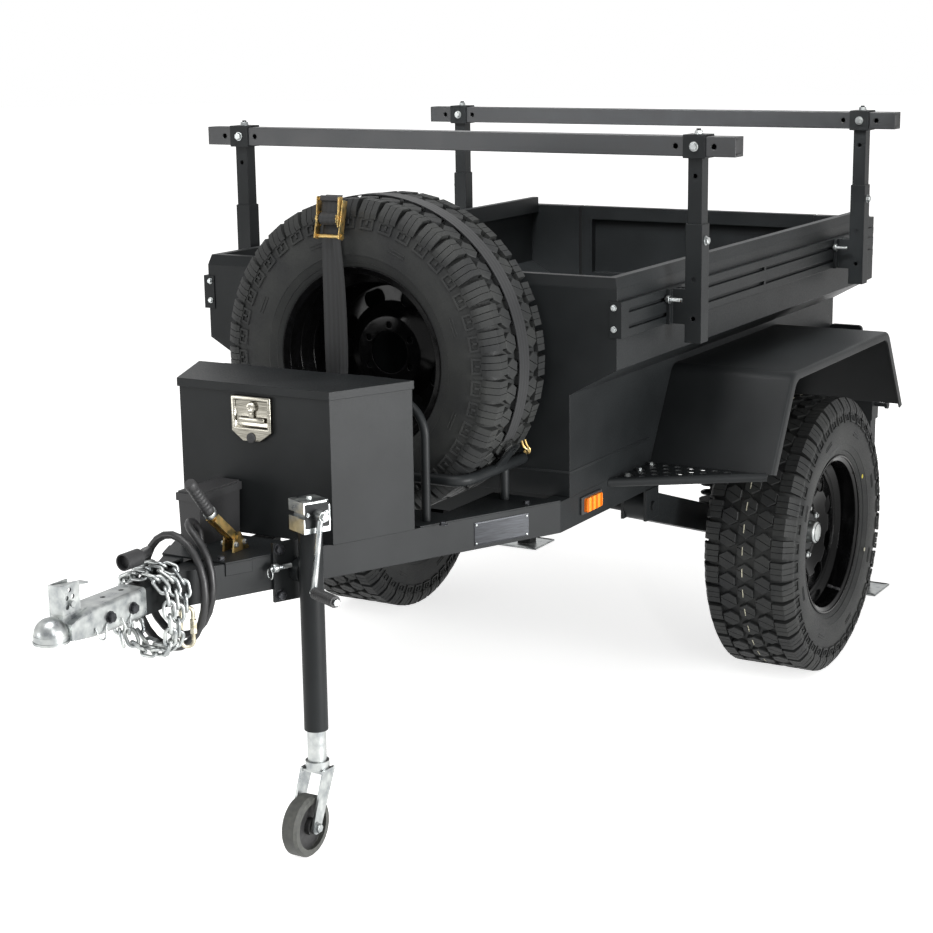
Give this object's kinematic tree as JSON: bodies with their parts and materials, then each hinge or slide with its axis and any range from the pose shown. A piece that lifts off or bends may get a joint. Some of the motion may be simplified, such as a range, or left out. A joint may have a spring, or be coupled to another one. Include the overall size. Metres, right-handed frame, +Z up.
{
  "type": "off-road cargo trailer",
  "caption": "Single-axle off-road cargo trailer with a stepped open tub, tailgate, fenders, load rack, tool box, spare wheel, ball coupler, jockey-wheel jack and rear drop legs.",
  "frame": {"origin": "on the ground at the middle of the trailer's footprint box", "axes": "+Z up, -Y towards the coupler, +X to the trailer's left"},
  "size_m": [1.688, 3.351, 1.6073],
  "materials": {
    "powder_coat": "fine-textured satin black powder coat",
    "gloss_black": "gloss black wheel paint",
    "zinc": "bright zinc plate",
    "stainless": "polished stainless",
    "yellow_zinc": "yellow passivated zinc",
    "tyre": "all-terrain tyre rubber",
    "rubber": "solid rubber",
    "plastic": "black moulded plastic",
    "amber": "amber lens",
    "red": "red lens",
    "webbing": "dark grey woven webbing"
  },
  "bodies": {
    "chassis": {"side_rails": "powder_coat", "drawbar_rails": "powder_coat", "cross_members": "powder_coat", "tongue_tube": "powder_coat", "drawbar_deck": "powder_coat", "coupler": "zinc", "coupler_latch": "zinc", "tool_box": "powder_coat", "tool_box_latch": "stainless", "battery_box": "plastic", "handbrake_lever": "yellow_zinc", "tub_front": "powder_coat", "tub_left": "powder_coat", "tub_right": "powder_coat", "tub_floor": "powder_coat", "top_rim": "powder_coat", "rear_frame": "powder_coat", "gate_hinges": "powder_coat", "side_tracks": "powder_coat", "left_fender": "powder_coat", "right_fender": "powder_coat", "left_step": "powder_coat", "right_step": "powder_coat", "rack_lower_posts": "powder_coat", "rack_upper_posts": "powder_coat", "rack_bars": "powder_coat", "spare_tyre": "tyre", "spare_rim": "gloss_black", "spare_carrier": "powder_coat", "spare_strap": "webbing", "strap_ratchet": "yellow_zinc", "trailing_arms": "powder_coat", "arm_hangers": "powder_coat", "stub_axles": "powder_coat", "shock_absorbers": "powder_coat", "side_markers": "amber", "tail_lamps": "red", "leg_sleeves": "powder_coat", "jack_plate": "powder_coat", "safety_chain": "zinc", "quick_link": "yellow_zinc", "trailer_cable": "rubber", "trailer_plug": "plastic"},
    "left_wheel": {"left_tyre": "tyre", "left_rim": "gloss_black", "left_hub": "powder_coat"},
    "right_wheel": {"right_tyre": "tyre", "right_rim": "gloss_black", "right_hub": "powder_coat"},
    "tailgate_panel": {"tailgate": "powder_coat"},
    "box_lid": {"tool_box_lid": "powder_coat"},
    "jack": {"jack_body": "powder_coat", "jack_head": "zinc"},
    "crank": {"jack_crank": "zinc", "crank_grip": "plastic"},
    "jack_leg": {"jack_inner": "zinc"},
    "caster": {"caster_fork": "zinc"},
    "jockey_wheel": {"caster_wheel": "rubber"},
    "left_drop_leg": {"left_leg": "powder_coat"},
    "right_drop_leg": {"right_leg": "powder_coat"}
  },
  "joints": [
    {"name": "left_wheel_spin", "type": "hinge", "parent": "chassis", "child": "left_wheel", "pos_m": [0.708, 0.7795, 0.401], "axis": [1, 0, 0], "continuous": true},
    {"name": "right_wheel_spin", "type": "hinge", "parent": "chassis", "child": "right_wheel", "pos_m": [-0.708, 0.7795, 0.401], "axis": [1, 0, 0], "continuous": true},
    {"name": "tailgate_hinge", "type": "hinge", "parent": "chassis", "child": "tailgate_panel", "pos_m": [0, 1.6675, 0.74], "axis": [-1, 0, 0], "range_deg": [0, 90]},
    {"name": "lid_hinge", "type": "hinge", "parent": "chassis", "child": "box_lid", "pos_m": [0, -0.6935, 1.054], "axis": [-1, 0, 0], "range_deg": [0, 95]},
    {"name": "jack_swing", "type": "hinge", "parent": "chassis", "child": "jack", "pos_m": [0.22455, -1.0165, 0.66], "axis": [0.9041, -0.4274, 0], "range_deg": [0, 90]},
    {"name": "jack_slide", "type": "slide", "parent": "jack", "child": "jack_leg", "axis": [0, 0, 1], "range_m": [-0.18, 0.07]},
    {"name": "crank_spin", "type": "hinge", "parent": "jack", "child": "crank", "pos_m": [0.22455, -1.0165, 0.806], "axis": [0.9041, -0.4274, 0], "continuous": true},
    {"name": "caster_swivel", "type": "hinge", "parent": "jack_leg", "child": "caster", "pos_m": [0.22455, -1.0165, 0.2], "axis": [0, 0, 1], "continuous": true},
    {"name": "jockey_wheel_spin", "type": "hinge", "parent": "caster", "child": "jockey_wheel", "pos_m": [0.22455, -1.0725, 0.072], "axis": [1, 0, 0], "continuous": true},
    {"name": "left_leg_slide", "type": "slide", "parent": "chassis", "child": "left_drop_leg", "axis": [0, 0, 1], "range_m": [0, 0.2]},
    {"name": "right_leg_slide", "type": "slide", "parent": "chassis", "child": "right_drop_leg", "axis": [0, 0, 1], "range_m": [0, 0.2]}
  ]
}
